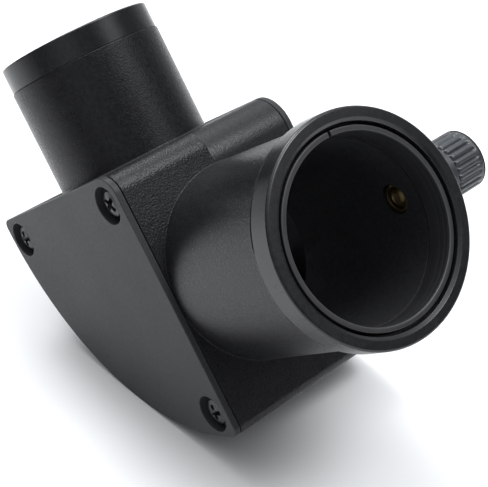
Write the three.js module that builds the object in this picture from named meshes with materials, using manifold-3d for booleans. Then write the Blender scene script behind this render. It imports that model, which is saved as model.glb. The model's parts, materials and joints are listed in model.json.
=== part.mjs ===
// A 90 degree star diagonal for 1.25 inch eyepieces. A fan-shaped housing carries two tubes at right
// angles, two screwed plates close its sides, and a flat mirror stands at 45 degrees inside.
//
// Units are millimetres. Every piece is drawn in the optical frame, where the two tube axes cross at
// the origin: +X runs out of the eyepiece tube, +Z runs out of the nosepiece and Y runs across the
// body. The whole group is then turned about Y and lifted, so that the diagonal rests on its curved
// back with both tubes pointing up, +Z is up and the ground is at zero.

import * as THREE from "three";
import { mergeVertices } from "three/addons/utils/BufferGeometryUtils.js";
import Module from "manifold-3d";

// Resting attitude: the eyepiece tube rises this far above the level, which hangs the centre of mass
// straight below the centre of the curved back.
const REST_ANGLE = THREE.MathUtils.degToRad(36.45);

// Fit and mesh.
const GAP = 0.3;
const OVERCUT = 1;
const ROUND_SEGMENTS = 48;
const RECESS_SEGMENTS = 24;
const SMALL_SEGMENTS = 16;
const ARC_SEGMENTS = 8;
const MERGE_TOLERANCE = 1e-4;

// Fan outline of the body: two flat faces at right angles and a curved back.
const FACE = 26.1;
const BACK_RADIUS = 50.4;
const BACK_CENTRE = 23.8;
const TIP_RADIUS = 1.8;
const NEAR_RIDGE_RADIUS = 4.0;
const FAR_RIDGE_RADIUS = 6.8;
const LEAST_RADIUS = 0.5;
const RIDGE_STEP_Y = 0.8;

// Side plates: a flange that covers the housing's edge and a plug that drops into its rebate.
const HALF_WIDTH = 20.35;
const FLANGE_THICKNESS = 1.3;
const PLUG_DEPTH = 1.85;
const PLUG_INSET = 1.1;
const HOUSING_HALF_WIDTH = HALF_WIDTH - FLANGE_THICKNESS - GAP;
const REBATE_DEPTH = HOUSING_HALF_WIDTH - (HALF_WIDTH - FLANGE_THICKNESS - PLUG_DEPTH) + GAP;
const WALL = 2.6;

// Plate screws: one at the ridge and one near each tip of the fan.
const SCREW_INSET = 5.1;
const SCREW_REACH = 21.6;
const RECESS_RADIUS = 3.7;
const RECESS_DEPTH = 2.05;
const POST_RADIUS = 3.7;
const SCREW = {
  head: 2.65, height: 1.2, shank: 1.25, length: 9.5, slot: 0.75, slotLength: 3.2, slotDepth: 0.8,
};
const SCREW_PLACES = {
  ridge: [FACE - SCREW_INSET, FACE - SCREW_INSET],
  top: [-SCREW_REACH, FACE - SCREW_INSET],
  bottom: [FACE - SCREW_INSET, -SCREW_REACH],
};

// Nosepiece: the 1.25 inch tube that slides into a focuser, and the ring that ends it.
const NOSE_RADIUS = 15.85;
const NOSE_BORE = 14.0;
const NOSE_END = 52.8;
const NOSE_FILLET = 0.6;
const NOSE_STUB = 20.0;
const END_RING = { outer: 15.65, length: 5.1, lip: 1.6, thread: 14.25, chamfer: 0.35 };
const NOSE_SPIGOT = 14.95;

// Eyepiece tube: a socket for 1.25 inch barrels with a collar round its mouth.
const TUBE_RADIUS = 19.1;
const TUBE_BORE = 16.0;
const TUBE_END = 62.95;
const TUBE_FILLET = 0.6;
const TUBE_LIP = { outer: 20.0, length: 0.55, slope: 0.9 };
const TUBE_STUB = 18.0;
const STUB_RADIUS = 18.0;
const COLLAR = {
  outer: 20.2, length: 4.9, edge: 0.6, edgeLength: 0.75, backEdge: 0.15,
  inner: 17.7, lip: 1.65, chamfer: 0.4,
};
const TUBE_SPIGOT = 18.4;
const MOUTH_RECESS = 17.4;
const SPLIT_RING = { inner: 16.1, outer: 17.1, length: 5.4, setBack: 0.65, gap: 0.6, angleDeg: 88 };

// Thumbscrew: an M4 screw with a fluted knob, in a brass insert in the tube's far wall.
const THUMB_X = 50.5;
const INSERT = { outer: 2.6, inner: 2.2, flange: 3.7, flangeThickness: 0.6, bottom: 16.35 };
const SHANK = { radius: 1.9, tip: 1.2, tipLength: 0.8, start: 16.2, end: 30.0 };
const KNOB = { start: 21.6, end: 33.65, neck: 5.2, radius: 5.65, neckEnd: 27.4, edge: 0.4 };
const FLUTE = { count: 24, radius: 0.5, depth: 0.35, sides: 8 };

// Mirror and its holder, in a frame of their own: X along the mirror, Z out of its reflecting face.
const MIRROR = { halfLength: 20.5, halfWidth: 15.0, thickness: 3.0, bevel: 0.5 };
const PAD_THICKNESS = 0.6;
const HOLDER = { halfLength: 24.4, halfWidth: 16.6, depth: 7.0 };
const CLIP = { halfWidth: 4.0, inner: 19.2, outer: 24.1, thickness: 0.5, hole: 1.3, screwAt: 22.6 };
const CLIP_SCREW = {
  head: 1.45, height: 0.9, shank: 0.9, length: 4.5, slot: 0.45, slotLength: 1.9, slotDepth: 0.5,
};
const SEAT = {
  front: 2.0, start: 22.4, halfLength: 40.0, shelfStart: 20.5, shelfDepth: 12.6, clearOfClips: 7.0,
};

const wasm = await Module();
wasm.setup();

// ---------------------------------------------------------------- solids

function toSolid(geometry) {
  const bare = geometry.clone();
  bare.deleteAttribute("normal");
  bare.deleteAttribute("uv");
  const merged = mergeVertices(bare, MERGE_TOLERANCE);
  const mesh = new wasm.Mesh({
    numProp: 3,
    vertProperties: merged.attributes.position.array,
    triVerts: new Uint32Array(merged.index.array),
  });
  return new wasm.Manifold(mesh);
}

function toGeometry(solid) {
  const { vertProperties, triVerts } = solid.getMesh();
  const geometry = new THREE.BufferGeometry();
  geometry.setAttribute("position", new THREE.BufferAttribute(vertProperties, 3));
  geometry.setIndex(new THREE.BufferAttribute(triVerts, 1));
  geometry.computeVertexNormals();
  return geometry;
}

// A solid of revolution about +Y from [radius, height] pairs, counterclockwise round the section.
function revolve(profile, segments) {
  const points = profile.map(([radius, height]) => new THREE.Vector2(radius, height));
  return new THREE.LatheGeometry(points, segments);
}

// A turned ring or sleeve: its section closes on itself.
function turnedRing(profile, segments = ROUND_SEGMENTS) {
  return revolve([...profile, profile[0]], segments);
}

// A cylinder about +Y between two heights.
function cylinder(radius, bottom, top, segments = ROUND_SEGMENTS) {
  return revolve([[0, bottom], [radius, bottom], [radius, top], [0, top]], segments);
}

const alongX = (geometry) => geometry.rotateZ(-Math.PI / 2);
const alongZ = (geometry) => geometry.rotateX(Math.PI / 2);

function box(sizeX, sizeY, sizeZ, x, y, z) {
  return new THREE.BoxGeometry(sizeX, sizeY, sizeZ).translate(x, y, z);
}

// A shape drawn in X and Z, extruded along Y between two values.
function prism(shape, fromY, toY) {
  const settings = { depth: toY - fromY, bevelEnabled: false, curveSegments: ARC_SEGMENTS };
  return new THREE.ExtrudeGeometry(shape, settings).rotateX(Math.PI / 2).translate(0, toY, 0);
}

// The fan outline, drawn a distance inside the body's own outline. A flat face and the curved back
// meet at each tip in a small arc that is tangent to both.
function fanOutline(inset, ridgeRadius) {
  const face = FACE - inset;
  const back = BACK_RADIUS - inset;
  const ridge = Math.max(ridgeRadius - inset, LEAST_RADIUS);
  const tip = Math.max(TIP_RADIUS - inset, LEAST_RADIUS);
  const tipAcross = face - tip;
  const tipAlong = BACK_CENTRE - Math.sqrt((back - tip) ** 2 - (tipAcross - BACK_CENTRE) ** 2);
  const tipAngle = Math.atan2(tipAlong - BACK_CENTRE, tipAcross - BACK_CENTRE);
  const shape = new THREE.Shape();
  shape.absarc(tipAcross, tipAlong, tip, tipAngle, 0);
  shape.absarc(face - ridge, face - ridge, ridge, 0, Math.PI / 2);
  shape.absarc(tipAlong, tipAcross, tip, Math.PI / 2, Math.PI / 2 - tipAngle);
  shape.absarc(BACK_CENTRE, BACK_CENTRE, back, Math.PI / 2 - tipAngle, 2 * Math.PI + tipAngle);
  return shape;
}

// Points of a quarter round that flares a tube out to the face it stands on.
function filletPoints(tubeRadius, faceHeight, filletRadius) {
  const points = [];
  const steps = 4;
  for (let i = 0; i <= steps; i += 1) {
    const angle = (i / steps) * (Math.PI / 2);
    points.push([
      tubeRadius + filletRadius * (1 - Math.sin(angle)),
      faceHeight + filletRadius * (1 - Math.cos(angle)),
    ]);
  }
  return points;
}

// ---------------------------------------------------------------- housing

// A tube on a face of the body: a stub inside, a fillet on the face, the tube and a spigot at its end.
// The rim is the outline from the tube's wall to the shoulder that the spigot stands on.
function tubeOnFace(radius, stubRadius, stubStart, fillet, rim, spigot, spigotEnd) {
  const shoulder = rim.at(-1)[1];
  return revolve([
    [0, stubStart],
    [stubRadius, stubStart],
    [stubRadius, FACE - OVERCUT / 2],
    [radius + fillet, FACE - OVERCUT / 2],
    ...filletPoints(radius, FACE, fillet),
    ...rim,
    [spigot, shoulder],
    [spigot, spigotEnd],
    [0, spigotEnd],
  ], ROUND_SEGMENTS);
}

function screwPosts() {
  const end = HOUSING_HALF_WIDTH - REBATE_DEPTH;
  const posts = Object.values(SCREW_PLACES).map(([x, z]) =>
    toSolid(cylinder(POST_RADIUS, -end, end, SMALL_SEGMENTS).translate(x, 0, z)));
  return wasm.Manifold.union(posts);
}

// The channels that hold the ends of the mirror holder: a shelf behind it and two stops before it.
function holderSeats() {
  const halfWidth = HOUSING_HALF_WIDTH - REBATE_DEPTH;
  const stopWidth = halfWidth - SEAT.clearOfClips;
  const seats = [];
  for (const end of [-1, 1]) {
    const shelfLength = SEAT.halfLength - SEAT.shelfStart;
    const shelfMiddle = end * (SEAT.shelfStart + shelfLength / 2);
    const shelfHeight = -HOLDER.depth - GAP - SEAT.shelfDepth / 2;
    seats.push(box(shelfLength, 2 * halfWidth, SEAT.shelfDepth, shelfMiddle, 0, shelfHeight));
    for (const side of [-1, 1]) {
      const stopLength = SEAT.halfLength - SEAT.start;
      const stopMiddle = end * (SEAT.start + stopLength / 2);
      const stopY = side * (SEAT.clearOfClips + stopWidth / 2);
      seats.push(box(stopLength, stopWidth, SEAT.front, stopMiddle, stopY, GAP + SEAT.front / 2));
    }
  }
  return wasm.Manifold.union(seats.map((seat) => toSolid(seat.rotateY(Math.PI / 4))));
}

function housing() {
  const near = prism(fanOutline(0, NEAR_RIDGE_RADIUS), -HOUSING_HALF_WIDTH, RIDGE_STEP_Y);
  const far = prism(fanOutline(0, FAR_RIDGE_RADIUS), RIDGE_STEP_Y, HOUSING_HALF_WIDTH);
  const body = toSolid(near).add(toSolid(far));

  const cavity = toSolid(prism(fanOutline(WALL, FAR_RIDGE_RADIUS), -HALF_WIDTH, HALF_WIDTH));
  const fittings = screwPosts().add(holderSeats());
  const inside = toSolid(prism(fanOutline(WALL / 2, FAR_RIDGE_RADIUS), -HALF_WIDTH, HALF_WIDTH));
  const shell = body.subtract(cavity).add(fittings.intersect(inside));

  const tubeShoulder = TUBE_END - COLLAR.length - GAP;
  const lipStart = tubeShoulder - TUBE_LIP.length;
  const tubeRim = [
    [TUBE_RADIUS, lipStart - TUBE_LIP.slope],
    [TUBE_LIP.outer, lipStart],
    [TUBE_LIP.outer, tubeShoulder],
  ];
  const eyepieceTube = toSolid(alongX(tubeOnFace(
    TUBE_RADIUS, STUB_RADIUS, TUBE_STUB, TUBE_FILLET,
    tubeRim, TUBE_SPIGOT, TUBE_END - COLLAR.lip - GAP,
  )));
  const noseRim = [[NOSE_RADIUS, NOSE_END - END_RING.length - GAP]];
  const nosepiece = toSolid(alongZ(tubeOnFace(
    NOSE_RADIUS, NOSE_RADIUS, NOSE_STUB, NOSE_FILLET,
    noseRim, NOSE_SPIGOT, NOSE_END - END_RING.lip - GAP,
  )));
  const acrossBody = toSolid(box(4 * FACE, 2 * HOUSING_HALF_WIDTH, 4 * FACE, FACE, 0, FACE));
  const beyondFace = toSolid(box(2 * FACE, 4 * FACE, 2 * FACE, 2 * FACE + TUBE_FILLET, 0, 0));
  const trimmedTube = eyepieceTube.intersect(acrossBody.add(beyondFace));

  const mouthStart = TUBE_END - SPLIT_RING.setBack - SPLIT_RING.length - GAP;
  const rebateOutline = fanOutline(PLUG_INSET - GAP, NEAR_RIDGE_RADIUS);
  const farRebateOutline = fanOutline(PLUG_INSET - GAP, FAR_RIDGE_RADIUS);
  const rebateFloor = HOUSING_HALF_WIDTH - REBATE_DEPTH;
  const cuts = [
    alongX(cylinder(TUBE_BORE, TUBE_STUB - OVERCUT, TUBE_END)),
    alongX(cylinder(MOUTH_RECESS, mouthStart, TUBE_END)),
    alongZ(cylinder(NOSE_BORE, NOSE_STUB - OVERCUT, NOSE_END)),
    cylinder(INSERT.outer + GAP, 0, TUBE_RADIUS + OVERCUT, SMALL_SEGMENTS).translate(THUMB_X, 0, 0),
    prism(rebateOutline, -HALF_WIDTH, -rebateFloor),
    prism(farRebateOutline, rebateFloor, HALF_WIDTH),
    ...Object.values(SCREW_PLACES).map(([x, z]) =>
      cylinder(SCREW.shank + GAP, -HALF_WIDTH, HALF_WIDTH, SMALL_SEGMENTS).translate(x, 0, z)),
  ];
  const tubes = trimmedTube.add(nosepiece);
  return shell.add(tubes).subtract(wasm.Manifold.union(cuts.map(toSolid)));
}

// ---------------------------------------------------------------- side plates and their screws

// A side plate for the side whose outward direction along Y is side.
function sidePlate(side, ridgeRadius) {
  const slab = (outline, inside, outside) => {
    const [low, high] = side < 0 ? [-outside, -inside] : [inside, outside];
    return toSolid(prism(outline, low, high));
  };
  const seam = HALF_WIDTH - FLANGE_THICKNESS;
  const flange = slab(fanOutline(0, ridgeRadius), seam, HALF_WIDTH);
  const plug = slab(fanOutline(PLUG_INSET, ridgeRadius), seam - PLUG_DEPTH, seam + FLANGE_THICKNESS / 2);
  const holes = [];
  for (const [x, z] of Object.values(SCREW_PLACES)) {
    const recess = cylinder(RECESS_RADIUS, HALF_WIDTH - RECESS_DEPTH, HALF_WIDTH + OVERCUT, RECESS_SEGMENTS);
    const clearance = cylinder(SCREW.shank + 2 * GAP, 0, HALF_WIDTH, SMALL_SEGMENTS);
    for (const hole of [recess, clearance]) {
      if (side < 0) hole.rotateX(Math.PI);
      holes.push(toSolid(hole.translate(x, 0, z)));
    }
  }
  return flange.add(plug).subtract(wasm.Manifold.union(holes));
}

// A pan-head screw with a cross recess, pointing down -Y from its head at the origin.
function crossHeadScrew(size) {
  const crown = size.height * 0.35;
  const body = toSolid(revolve([
    [0, -size.length],
    [size.shank * 0.5, -size.length],
    [size.shank, -size.length + size.shank],
    [size.shank, 0],
    [size.head, 0],
    [size.head, size.height - crown],
    [size.head * 0.82, size.height - crown * 0.3],
    [size.head * 0.5, size.height],
    [0, size.height],
  ], SMALL_SEGMENTS));
  const slotMiddle = size.height - size.slotDepth / 2 + OVERCUT / 2;
  const slotHeight = size.slotDepth + OVERCUT;
  const slotA = toSolid(box(size.slotLength, slotHeight, size.slot, 0, slotMiddle, 0));
  const slotB = toSolid(box(size.slot, slotHeight, size.slotLength, 0, slotMiddle, 0));
  return body.subtract(slotA.add(slotB));
}

// ---------------------------------------------------------------- collar, rings and thumbscrew

function eyepieceCollar() {
  const { outer, edge, edgeLength, backEdge, inner, lip, chamfer } = COLLAR;
  const shoulder = edge * 0.35;
  const back = TUBE_END - COLLAR.length;
  return toSolid(alongX(turnedRing([
    [TUBE_SPIGOT + GAP, back],
    [outer - backEdge, back],
    [outer, back + backEdge],
    [outer, TUBE_END - edgeLength],
    [outer - shoulder, TUBE_END - shoulder],
    [outer - edge, TUBE_END],
    [inner + chamfer, TUBE_END],
    [inner, TUBE_END - chamfer],
    [inner, TUBE_END - lip],
    [TUBE_SPIGOT + GAP, TUBE_END - lip],
  ])));
}

function noseEndRing() {
  const { outer, length, lip, thread, chamfer } = END_RING;
  const back = NOSE_END - length;
  return toSolid(alongZ(turnedRing([
    [NOSE_SPIGOT + GAP, back],
    [outer, back],
    [outer, NOSE_END - chamfer],
    [outer - chamfer, NOSE_END],
    [thread + chamfer, NOSE_END],
    [thread, NOSE_END - chamfer],
    [thread, NOSE_END - lip],
    [NOSE_SPIGOT + GAP, NOSE_END - lip],
  ])));
}

// The split ring that lines the mouth of the eyepiece tube. It is cut through at one place.
function splitRing() {
  const { inner, outer, length, setBack, gap, angleDeg } = SPLIT_RING;
  const front = TUBE_END - setBack;
  const ring = toSolid(alongX(turnedRing([
    [inner, front - length],
    [outer, front - length],
    [outer, front],
    [inner, front],
  ])));
  const middle = (inner + outer) / 2;
  const cut = box(2 * length + OVERCUT, 2 * OVERCUT + outer - inner, gap, front - length / 2, middle, 0);
  cut.rotateX(THREE.MathUtils.degToRad(angleDeg));
  return ring.subtract(toSolid(cut));
}

function threadedInsert() {
  const top = TUBE_RADIUS + GAP;
  return toSolid(turnedRing([
    [INSERT.inner, INSERT.bottom],
    [INSERT.outer, INSERT.bottom],
    [INSERT.outer, top],
    [INSERT.flange, top],
    [INSERT.flange, top + INSERT.flangeThickness],
    [INSERT.inner, top + INSERT.flangeThickness],
  ], SMALL_SEGMENTS));
}

function thumbscrewShank() {
  return toSolid(revolve([
    [0, SHANK.start],
    [SHANK.tip, SHANK.start],
    [SHANK.radius, SHANK.start + SHANK.tipLength],
    [SHANK.radius, SHANK.end],
    [0, SHANK.end],
  ], SMALL_SEGMENTS));
}

// The knob: a plain neck that widens into a grip, whose flutes run from the neck to the outer end.
function thumbscrewKnob() {
  const { start, end, neck, radius, neckEnd, edge } = KNOB;
  const hole = SHANK.radius + GAP;
  const body = toSolid(revolve([
    [0, SHANK.end + GAP],
    [hole, SHANK.end + GAP],
    [hole, start],
    [neck - edge, start],
    [neck, start + edge],
    [radius, neckEnd - 3 * edge],
    [radius, end - edge],
    [radius - edge, end],
    [0, end],
  ], FLUTE.count));
  const cutters = [];
  for (let i = 0; i < FLUTE.count; i += 1) {
    const flute = cylinder(FLUTE.radius, neckEnd, end + OVERCUT, FLUTE.sides);
    flute.translate(radius + FLUTE.radius - FLUTE.depth, 0, 0);
    flute.rotateY((i / FLUTE.count) * 2 * Math.PI);
    cutters.push(toSolid(flute));
  }
  return body.subtract(wasm.Manifold.union(cutters));
}

// ---------------------------------------------------------------- mirror and its holder

function mirrorGlass() {
  const { halfLength, halfWidth, thickness, bevel } = MIRROR;
  const shape = new THREE.Shape();
  shape.moveTo(-halfLength + bevel, -halfWidth);
  shape.lineTo(halfLength - bevel, -halfWidth);
  shape.lineTo(halfLength, -halfWidth + bevel);
  shape.lineTo(halfLength, halfWidth - bevel);
  shape.lineTo(halfLength - bevel, halfWidth);
  shape.lineTo(-halfLength + bevel, halfWidth);
  shape.lineTo(-halfLength, halfWidth - bevel);
  shape.lineTo(-halfLength, -halfWidth + bevel);
  shape.closePath();
  const glass = new THREE.ExtrudeGeometry(shape, { depth: thickness, bevelEnabled: false });
  return toSolid(glass.translate(0, 0, -thickness));
}

function mirrorPad() {
  const top = -MIRROR.thickness - GAP;
  const length = 2 * (MIRROR.halfLength - 1);
  const width = 2 * (MIRROR.halfWidth - 1);
  return toSolid(box(length, width, PAD_THICKNESS, 0, 0, top - PAD_THICKNESS / 2));
}

// A tray with a rim all round the glass, and a tapped hole at each end for a clip.
function mirrorHolder() {
  const { halfLength, halfWidth, depth } = HOLDER;
  const block = toSolid(box(2 * halfLength, 2 * halfWidth, depth, 0, 0, -depth / 2));
  const pocketDepth = MIRROR.thickness + PAD_THICKNESS + 2 * GAP;
  const pocketLength = 2 * (MIRROR.halfLength + GAP);
  const pocketWidth = 2 * (MIRROR.halfWidth + GAP);
  const pocket = box(pocketLength, pocketWidth, pocketDepth + OVERCUT, 0, 0, (OVERCUT - pocketDepth) / 2);
  const cuts = [pocket];
  for (const end of [-1, 1]) {
    const hole = alongZ(cylinder(CLIP_SCREW.shank + GAP, -CLIP_SCREW.length - GAP, OVERCUT, SMALL_SEGMENTS));
    cuts.push(hole.translate(end * CLIP.screwAt, 0, 0));
  }
  return block.subtract(wasm.Manifold.union(cuts.map(toSolid)));
}

// A flat leaf that reaches from the holder's rim over the edge of the glass.
function mirrorClip(end) {
  const length = CLIP.outer - CLIP.inner;
  const middle = end * (CLIP.inner + length / 2);
  const leaf = toSolid(box(length, 2 * CLIP.halfWidth, CLIP.thickness, middle, 0, GAP + CLIP.thickness / 2));
  const hole = alongZ(cylinder(CLIP_SCREW.shank + GAP, 0, OVERCUT + CLIP.thickness, SMALL_SEGMENTS));
  return leaf.subtract(toSolid(hole.translate(end * CLIP.screwAt, 0, 0)));
}

// ---------------------------------------------------------------- assembly

function finish(color, roughness, metalness) {
  return new THREE.MeshStandardMaterial({ color, roughness, metalness });
}

const texturedBlack = finish(0x2b2c2e, 0.62, 0.0);
const plateGrey = finish(0x55585b, 0.5, 0.0);
const smoothBlack = finish(0x26282b, 0.3, 0.0);
const ringBlack = finish(0x1d1d1f, 0.45, 0.0);
const knobBlack = finish(0x35383a, 0.4, 0.0);
const blackSteel = finish(0x202226, 0.35, 0.9);
const brass = finish(0xa08040, 0.35, 1.0);
const mirrorCoat = finish(0xd8dce0, 0.03, 1.0);
const holderBlack = finish(0x18191a, 0.7, 0.0);
const foamBlack = finish(0x121212, 0.95, 0.0);
const springSteel = finish(0x8a8c90, 0.35, 1.0);

function piece(name, solid, material) {
  const mesh = new THREE.Mesh(toGeometry(solid), material);
  mesh.name = name;
  return mesh;
}

function plateScrews(sideName, side) {
  const seat = HALF_WIDTH - RECESS_DEPTH + GAP;
  return Object.entries(SCREW_PLACES).map(([placeName, [x, z]]) => {
    const screw = piece(`plate_screw_${sideName}_${placeName}`, crossHeadScrew(SCREW), blackSteel);
    screw.rotation.x = side < 0 ? Math.PI : 0;
    screw.position.set(x, side * seat, z);
    return screw;
  });
}

function mirrorAssembly() {
  const group = new THREE.Group();
  group.add(piece("mirror_glass", mirrorGlass(), mirrorCoat));
  group.add(piece("mirror_pad", mirrorPad(), foamBlack));
  group.add(piece("mirror_holder", mirrorHolder(), holderBlack));
  for (const [endName, end] of [["upper", -1], ["lower", 1]]) {
    group.add(piece(`mirror_clip_${endName}`, mirrorClip(end), springSteel));
    const screw = piece(`mirror_clip_screw_${endName}`, crossHeadScrew(CLIP_SCREW), blackSteel);
    screw.rotation.x = Math.PI / 2;
    screw.position.set(end * CLIP.screwAt, 0, 2 * GAP + CLIP.thickness);
    group.add(screw);
  }
  group.rotation.y = Math.PI / 4;
  return group;
}

function thumbscrew() {
  const group = new THREE.Group();
  group.add(piece("thumbscrew_insert", threadedInsert(), brass));
  group.add(piece("thumbscrew_shank", thumbscrewShank(), brass));
  group.add(piece("thumbscrew_knob", thumbscrewKnob(), knobBlack));
  group.position.x = THUMB_X;
  return group;
}

const diagonal = new THREE.Group();
diagonal.add(piece("housing", housing(), texturedBlack));
diagonal.add(piece("side_plate_near", sidePlate(-1, NEAR_RIDGE_RADIUS), plateGrey));
diagonal.add(piece("side_plate_far", sidePlate(1, FAR_RIDGE_RADIUS), plateGrey));
diagonal.add(...plateScrews("near", -1));
diagonal.add(...plateScrews("far", 1));
diagonal.add(piece("eyepiece_collar", eyepieceCollar(), smoothBlack));
diagonal.add(piece("eyepiece_split_ring", splitRing(), ringBlack));
diagonal.add(piece("nosepiece_end_ring", noseEndRing(), smoothBlack));
diagonal.add(thumbscrew());
diagonal.add(mirrorAssembly());

// Turn the diagonal to its resting attitude and stand it on the ground, centred over the origin.
diagonal.rotation.y = -REST_ANGLE;
const bounds = new THREE.Box3().setFromObject(diagonal, true);
const middle = bounds.getCenter(new THREE.Vector3());
diagonal.position.set(-middle.x, -middle.y, -bounds.min.z);

const starDiagonal = new THREE.Group();
starDiagonal.add(diagonal);

export default starDiagonal;
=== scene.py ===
"""The looks of a 1.25 inch star diagonal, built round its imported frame.

Pieces are drawn along the object's optical axes: X runs out of the eyepiece socket, Z out of the
nosepiece, Y across the body, and the origin is where the two tube axes cross. The mirror and what
holds it have axes of their own, turned 45 degrees about Y, with Z out of the reflecting face.
Lengths are millimetres until a piece is placed, and metres after that.
"""

import json
import math

import bmesh
import bpy
from mathutils import Matrix, Vector


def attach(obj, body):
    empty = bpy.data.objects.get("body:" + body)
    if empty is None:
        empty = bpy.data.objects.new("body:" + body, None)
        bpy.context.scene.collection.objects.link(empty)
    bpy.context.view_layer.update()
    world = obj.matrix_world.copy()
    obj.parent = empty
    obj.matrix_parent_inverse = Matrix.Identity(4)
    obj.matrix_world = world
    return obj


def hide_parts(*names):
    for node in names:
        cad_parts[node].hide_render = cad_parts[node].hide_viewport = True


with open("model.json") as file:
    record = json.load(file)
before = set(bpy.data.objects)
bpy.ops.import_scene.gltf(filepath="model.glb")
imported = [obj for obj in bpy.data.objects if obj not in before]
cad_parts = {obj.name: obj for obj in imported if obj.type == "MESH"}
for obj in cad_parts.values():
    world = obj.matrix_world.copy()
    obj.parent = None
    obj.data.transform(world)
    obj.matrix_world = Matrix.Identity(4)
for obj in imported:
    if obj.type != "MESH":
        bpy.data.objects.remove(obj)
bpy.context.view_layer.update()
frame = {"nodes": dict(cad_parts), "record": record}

MM = 0.001
TINY = 1e-6
QUARTER = math.pi / 2

# Pieces that touch on the real object stand this far apart, as their CAD nodes do.
GAP = 0.3

# A tool that cuts reaches this far past the face that it cuts.
OVERCUT = 1.0

# A finer curve bulges this far past the flat facets of the CAD back that the body rests on.
FACET_RISE = 0.065

# Points round a full circle, by what the circle is.
ROUND = {
    "rim": 192, "tube": 160, "nosepiece": 144, "recess": 72, "thumbscrew": 64, "screw": 48,
    "hole": 48, "clip_hole": 32,
}


# ---------------------------------------------------------------- places and sizes from the frame

def span(node, axes):
    """The lowest and the highest corner of a CAD node along a set of axes, in millimetres."""
    to_axes = axes.inverted()
    points = [to_axes @ vertex.co / MM for vertex in frame["nodes"][node].data.vertices]
    low = Vector([min(point[k] for point in points) for k in range(3)])
    high = Vector([max(point[k] for point in points) for k in range(3)])
    return low, high


def optical_axes():
    """The optical axes in the row frame: directions from two mounts, the origin from the end rings."""
    mounts = {mount["name"]: mount for mount in frame["record"]["mounts"]}
    x_axis = Vector(mounts["eyepiece_rim"]["axis"]).normalized()
    y_axis = Vector(mounts["nosepiece_shoulder"]["axis"]).cross(x_axis).normalized()
    turn = Matrix((x_axis, y_axis, x_axis.cross(y_axis))).transposed().to_4x4()
    ring_low, ring_high = span("nosepiece_end_ring", turn)
    collar_low, collar_high = span("eyepiece_collar", turn)
    crossing = (collar_low + collar_high) / 2
    crossing.x = (ring_low.x + ring_high.x) / 2
    return Matrix.Translation(turn @ (crossing * MM)) @ turn


OPTICAL = optical_axes()
MIRROR_TURN = Matrix.Rotation(math.radians(45), 4, "Y")
MIRROR = OPTICAL @ MIRROR_TURN

# Body: the fan outline, the side plates and the step in the ridge between its two halves.
plate_low, plate_high = span("side_plate_near", OPTICAL)
FACE = plate_high.x
HALF_WIDTH = -plate_low.y
PLUG_END = -plate_high.y
BACK_CENTRE = 23.8
BACK_RADIUS = BACK_CENTRE - plate_low.x - FACET_RISE
TIP_RADIUS = 1.8
NEAR_RIDGE_RADIUS = 4.0
FAR_RIDGE_RADIUS = 6.8
LEAST_RADIUS = 0.5
RIDGE_STEP_Y = 0.8
RIDGE_STEP_ROUND = 0.55
RIDGE_STEP_RUN = 0.05
FLANGE_THICKNESS = 1.3
PLUG_INSET = 1.1
PLUG_CHAMFER = 0.3
SEAM = HALF_WIDTH - FLANGE_THICKNESS
SEAM_GAP = 0.14
HOUSING_HALF_WIDTH = SEAM - SEAM_GAP
REBATE_FLOOR = PLUG_END - GAP
WALL = 2.6
SEAM_ROUND = 0.15
PLATE_ROUND = 0.22

# Plate screws and the recesses that they stand in. SCREW_SPIN gives each one a turn of its own, in
# radians for each millimetre along X and Z, as screws driven by hand have, and THREAD_STOP is how far
# below the head the thread ends.
RECESS_RADIUS = 3.7
RECESS_DEPTH = 2.05
RECESS_ROUND = 0.16
POST_RADIUS = 3.7
SCREW_PLACES = {}
for place in ("ridge", "top", "bottom"):
    screw_low, screw_high = span(f"plate_screw_near_{place}", OPTICAL)
    SCREW_PLACES[place] = ((screw_low.x + screw_high.x) / 2, (screw_low.z + screw_high.z) / 2)
SCREW_SPIN = (0.35, 0.2)
SCREW = {"head": 2.65, "height": 1.2, "shank": 1.25, "length": 9.5, "pitch": 0.8, "thread": 0.22}
CLIP_SCREW = {"head": 1.45, "height": 0.9, "shank": 0.9, "length": 4.5, "pitch": 0.4, "thread": 0.12}
THREAD_STOP = 0.3

# The arms of a screw's cross recess: half length and half width, as parts of the head's radius.
CROSS_FLOOR = (0.2, 0.12)
CROSS_TOP = (0.72, 0.2)

# Eyepiece tube, its collar and the split ring in its mouth.
collar_low, collar_high = span("eyepiece_collar", OPTICAL)
split_low, split_high = span("eyepiece_split_ring", OPTICAL)
TUBE_END = collar_high.x
COLLAR_BACK = collar_low.x
COLLAR_RADIUS = collar_high.y
COLLAR = {
    "inner": 17.7, "lip": 1.65, "lip_edge": 0.1, "front_edge": 0.5, "back_edge": 0.3,
    "chamfer": 0.6, "chamfer_depth": 0.45, "chamfer_edge": 0.15,
}
TUBE_RADIUS = 19.1
TUBE_BORE = 16.0
TUBE_STUB = 18.0
TUBE_FILLET = 0.12
TUBE_LIP = {"outer": 20.0, "length": 0.55, "slope": 0.9, "root": 0.8, "crest": 0.3, "shoulder": 0.22}
TUBE_SPIGOT = 18.4
MOUTH_RECESS = 17.4
SPLIT = {
    "inner": 16.1, "gap": 0.6, "turn_deg": 88,
    "back_edge": 0.12, "outer_edge": 0.18, "mouth_edge": 0.25,
}

# Nosepiece and the ring that ends it.
ring_low, ring_high = span("nosepiece_end_ring", OPTICAL)
NOSE_END = ring_high.z
RING_BACK = ring_low.z
RING_RADIUS = ring_high.y
RING = {"thread": 14.25, "lip": 1.6, "edge": 0.35, "seam": 0.08, "small_edge": 0.08, "chamfer": 0.3}
NOSE_RADIUS = 15.85
NOSE_BORE = 14.0
NOSE_STUB = 20.0
NOSE_FILLET = 0.2
NOSE_EDGE = 0.12
NOSE_SPIGOT = 14.95
FILTER_THREAD = {"pitch": 0.6, "depth": 0.2, "length": 4.2}
THREAD_STEP = 0.1

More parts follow.
